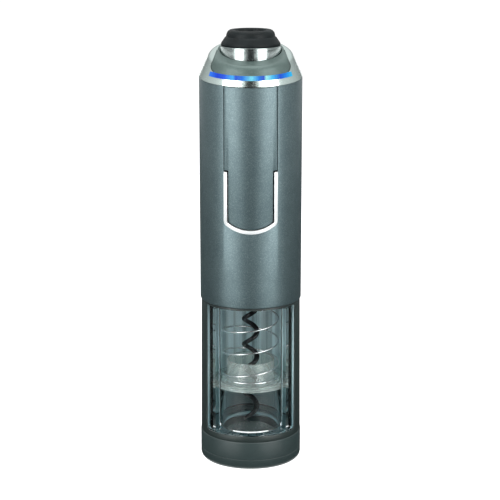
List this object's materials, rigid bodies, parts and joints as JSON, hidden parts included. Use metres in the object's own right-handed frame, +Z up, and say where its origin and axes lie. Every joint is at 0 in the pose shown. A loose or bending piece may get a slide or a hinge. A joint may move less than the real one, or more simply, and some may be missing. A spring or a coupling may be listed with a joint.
{
  "type": "electric wine opener",
  "caption": "Upright cordless wine opener: grey cylinder with press panel, lit bezel and vacuum head above a clear window showing the worm, neck guide and spring, on a foil cutter base.",
  "frame": {"origin": "centre of the base ring's underside", "axes": "+Z up along the body's axis, -Y towards the press panel and the window"},
  "size_m": [0.0562, 0.0562, 0.2407],
  "materials": {
    "housing_paint": "satin metallic grey paint on moulded ABS",
    "cap_paint": "satin metallic grey paint on moulded ABS",
    "sleeve_plastic": "satin dark grey moulded ABS",
    "cutter_plastic": "satin dark grey moulded ABS",
    "trim_chrome": "bright chrome plate on plastic",
    "bezel_chrome": "satin chrome plate on plastic",
    "light_guide": "diffusing clear acrylic lit blue from behind",
    "clear_plastic": "clear moulded polycarbonate",
    "clear_guide": "clear moulded polycarbonate",
    "spring_steel": "drawn spring wire",
    "worm_coating": "black non-stick coating, glossy",
    "hub_metal": "turned steel",
    "gear_nylon": "moulded acetal",
    "screw_steel": "zinc plated",
    "inner_plastic": "moulded black ABS",
    "bearing_bronze": "sintered bronze",
    "shaft_steel": "ground steel",
    "motor_steel": "zinc plated pressed steel",
    "switch_black": "moulded black",
    "board_green": "green solder mask",
    "cell_wrap": null,
    "contact_plate": "gold-tone plated strip",
    "soft_rubber": "silicone rubber",
    "nozzle_rubber": "moulded black rubber, satin",
    "collar_steel": "stainless, brushed round",
    "cutter_steel": "hardened stainless, ground edge"
  },
  "bodies": {
    "housing": {"main_housing": "housing_paint", "panel_trim": "trim_chrome", "top_cap": "cap_paint", "chrome_bezel": "bezel_chrome", "light_guides": "light_guide", "led_board": "board_green", "charge_contacts": "contact_plate", "window_sleeve": "sleeve_plastic", "clear_tube": "clear_plastic", "stop_tube": "clear_plastic", "ring_gear": "gear_nylon", "gearbox_screws": "screw_steel", "front_plate": "inner_plastic", "spindle_bearing": "bearing_bronze", "motor_plate": "shaft_steel", "motor_can": "motor_steel", "motor_end_cap": "inner_plastic", "chassis": "inner_plastic", "deck_screws": "screw_steel", "control_board": "board_green", "panel_switch": "switch_black", "panel_spring": "spring_steel", "battery_cells": "cell_wrap", "battery_contacts": "contact_plate", "pump_motor": "motor_steel", "pump_frame": "inner_plastic", "pump_diaphragm": "soft_rubber", "pump_cover": "inner_plastic", "air_tube": "soft_rubber", "head_guide": "inner_plastic", "stem_seal": "soft_rubber", "head_spring": "spring_steel", "head_switch": "switch_black", "guide_spring": "spring_steel"},
    "press_panel": {"press_panel": "housing_paint"},
    "neck_guide": {"neck_guide": "clear_guide"},
    "output_spindle": {"spindle": "shaft_steel", "worm": "worm_coating", "worm_hub": "hub_metal"},
    "sun_carrier": {"sun_carrier": "shaft_steel"},
    "motor_rotor": {"motor_rotor": "motor_steel", "motor_pinion": "shaft_steel"},
    "pump_rotor": {"pump_rotor": "motor_steel", "pump_eccentric": "gear_nylon"},
    "wobble_plate": {"pump_wobble_plate": "gear_nylon"},
    "vacuum_head": {"head_carrier": "inner_plastic", "head_collar": "collar_steel", "rubber_nozzle": "nozzle_rubber"},
    "foil_cutter": {"foil_cutter_body": "cutter_plastic", "cutter_pins": "shaft_steel"},
    "output_planet_1": {"output_planet_1": "gear_nylon"},
    "input_planet_1": {"input_planet_1": "gear_nylon"},
    "output_planet_2": {"output_planet_2": "gear_nylon"},
    "input_planet_2": {"input_planet_2": "gear_nylon"},
    "output_planet_3": {"output_planet_3": "gear_nylon"},
    "input_planet_3": {"input_planet_3": "gear_nylon"},
    "cutter_wheel_1": {"cutter_wheel_1": "cutter_steel"},
    "cutter_wheel_2": {"cutter_wheel_2": "cutter_steel"},
    "cutter_wheel_3": {"cutter_wheel_3": "cutter_steel"},
    "cutter_wheel_4": {"cutter_wheel_4": "cutter_steel"}
  },
  "joints": [
    {"name": "worm_spin", "type": "hinge", "parent": "housing", "child": "output_spindle", "pos_m": [0, 0, 0.094], "axis": [0, 0, 1], "continuous": true},
    {"name": "sun_carrier_spin", "type": "hinge", "parent": "housing", "child": "sun_carrier", "pos_m": [0, 0, 0.109], "axis": [0, 0, 1], "continuous": true},
    {"name": "motor_spin", "type": "hinge", "parent": "housing", "child": "motor_rotor", "pos_m": [0, 0, 0.14], "axis": [0, 0, 1], "continuous": true},
    {"name": "panel_press", "type": "hinge", "parent": "housing", "child": "press_panel", "pos_m": [0, -0.0208, 0.2065], "axis": [1, 0, 0], "range_deg": [0, 1.6], "stiffness_Nm_per_rad": 0.08, "springref_deg": -2.86},
    {"name": "neck_guide_slide", "type": "slide", "parent": "housing", "child": "neck_guide", "axis": [0, 0, 1], "range_m": [0, 0.0335], "stiffness_N_per_m": 120, "springref_m": -0.02, "deforming": ["guide_spring"]},
    {"name": "vacuum_head_press", "type": "slide", "parent": "housing", "child": "vacuum_head", "axis": [0, 0, -1], "range_m": [0, 0.002], "stiffness_N_per_m": 900, "springref_m": -0.003, "deforming": ["head_spring"]},
    {"name": "foil_cutter_pull", "type": "slide", "parent": "housing", "child": "foil_cutter", "axis": [0, 0, -1], "range_m": [0, 0.03]},
    {"name": "pump_spin", "type": "hinge", "parent": "housing", "child": "pump_rotor", "pos_m": [0, -0.005, 0.18], "axis": [0, 0, 1], "continuous": true},
    {"name": "wobble_turn", "type": "hinge", "parent": "pump_rotor", "child": "wobble_plate", "pos_m": [0, -0.005, 0.1925], "axis": [0, -0.0698, 0.9976], "continuous": true},
    {"name": "output_planet_1_spin", "type": "hinge", "parent": "output_spindle", "child": "output_planet_1", "pos_m": [0.0108, 0, 0.104], "axis": [0, 0, 1], "continuous": true},
    {"name": "input_planet_1_spin", "type": "hinge", "parent": "sun_carrier", "child": "input_planet_1", "pos_m": [0.0108, 0, 0.114], "axis": [0, 0, 1], "continuous": true},
    {"name": "output_planet_2_spin", "type": "hinge", "parent": "output_spindle", "child": "output_planet_2", "pos_m": [-0.0054, 0.00935, 0.104], "axis": [0, 0, 1], "continuous": true},
    {"name": "input_planet_2_spin", "type": "hinge", "parent": "sun_carrier", "child": "input_planet_2", "pos_m": [-0.0054, 0.00935, 0.114], "axis": [0, 0, 1], "continuous": true},
    {"name": "output_planet_3_spin", "type": "hinge", "parent": "output_spindle", "child": "output_planet_3", "pos_m": [-0.0054, -0.00935, 0.104], "axis": [0, 0, 1], "continuous": true},
    {"name": "input_planet_3_spin", "type": "hinge", "parent": "sun_carrier", "child": "input_planet_3", "pos_m": [-0.0054, -0.00935, 0.114], "axis": [0, 0, 1], "continuous": true},
    {"name": "cutter_wheel_1_spin", "type": "hinge", "parent": "foil_cutter", "child": "cutter_wheel_1", "pos_m": [0.01266, 0.01266, 0.007], "axis": [0, 0, 1], "continuous": true},
    {"name": "cutter_wheel_2_spin", "type": "hinge", "parent": "foil_cutter", "child": "cutter_wheel_2", "pos_m": [-0.01266, 0.01266, 0.007], "axis": [0, 0, 1], "continuous": true},
    {"name": "cutter_wheel_3_spin", "type": "hinge", "parent": "foil_cutter", "child": "cutter_wheel_3", "pos_m": [-0.01266, -0.01266, 0.007], "axis": [0, 0, 1], "continuous": true},
    {"name": "cutter_wheel_4_spin", "type": "hinge", "parent": "foil_cutter", "child": "cutter_wheel_4", "pos_m": [0.01266, -0.01266, 0.007], "axis": [0, 0, 1], "continuous": true}
  ],
  "couplings": [
    {"joint": "sun_carrier_spin", "follows": "worm_spin", "ratio": 4.5},
    {"joint": "motor_spin", "follows": "worm_spin", "ratio": 20.25},
    {"joint": "wobble_turn", "follows": "pump_spin", "ratio": -1},
    {"joint": "output_planet_1_spin", "follows": "worm_spin", "ratio": -2.8},
    {"joint": "input_planet_1_spin", "follows": "worm_spin", "ratio": -12.6},
    {"joint": "output_planet_2_spin", "follows": "worm_spin", "ratio": -2.8},
    {"joint": "input_planet_2_spin", "follows": "worm_spin", "ratio": -12.6},
    {"joint": "output_planet_3_spin", "follows": "worm_spin", "ratio": -2.8},
    {"joint": "input_planet_3_spin", "follows": "worm_spin", "ratio": -12.6}
  ]
}
